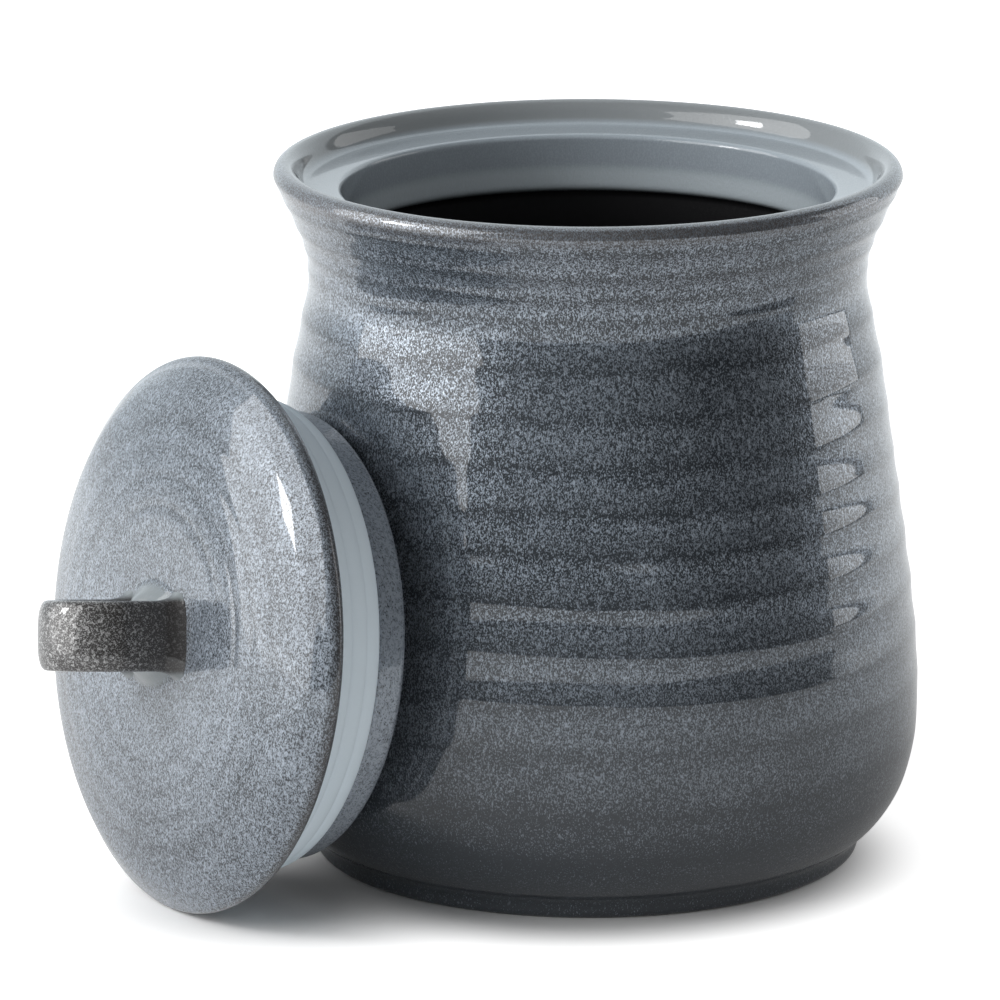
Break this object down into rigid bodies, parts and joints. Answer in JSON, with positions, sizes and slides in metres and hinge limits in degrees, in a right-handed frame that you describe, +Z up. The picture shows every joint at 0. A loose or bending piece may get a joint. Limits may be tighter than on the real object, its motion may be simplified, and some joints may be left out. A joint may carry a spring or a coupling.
{
  "type": "water seal pickle jar",
  "caption": "Round glazed stoneware pickle jar with a flared neck, and a lifted-off domed lid with a strap handle and a soft seal round its plug.",
  "frame": {"origin": "on the jar's axis, in the plane that its foot rests on", "axes": "+Z up along the jar's axis, out of the mouth; the lid leans on the jar's -X side, its face turned towards -Y"},
  "size_m": [0.2174, 0.1939, 0.175],
  "materials": {
    "jar_glaze": "glossy speckled slate glaze",
    "lid_glaze": "glossy speckled grey glaze",
    "handle_glaze": "glossy dark brown-grey glaze with light specks",
    "seal_silicone": "satin pale blue-grey silicone"
  },
  "bodies": {
    "jar": {"jar_body": "jar_glaze"},
    "lid": {"lid": "lid_glaze", "lid_handle": "handle_glaze", "lid_seal": "seal_silicone"}
  },
  "joints": [
    {"name": "lid_slide", "type": "slide", "parent": "jar", "child": "lid", "axis": [-0.859, -0.512, 0], "range_m": [0, 0.15]}
  ]
}
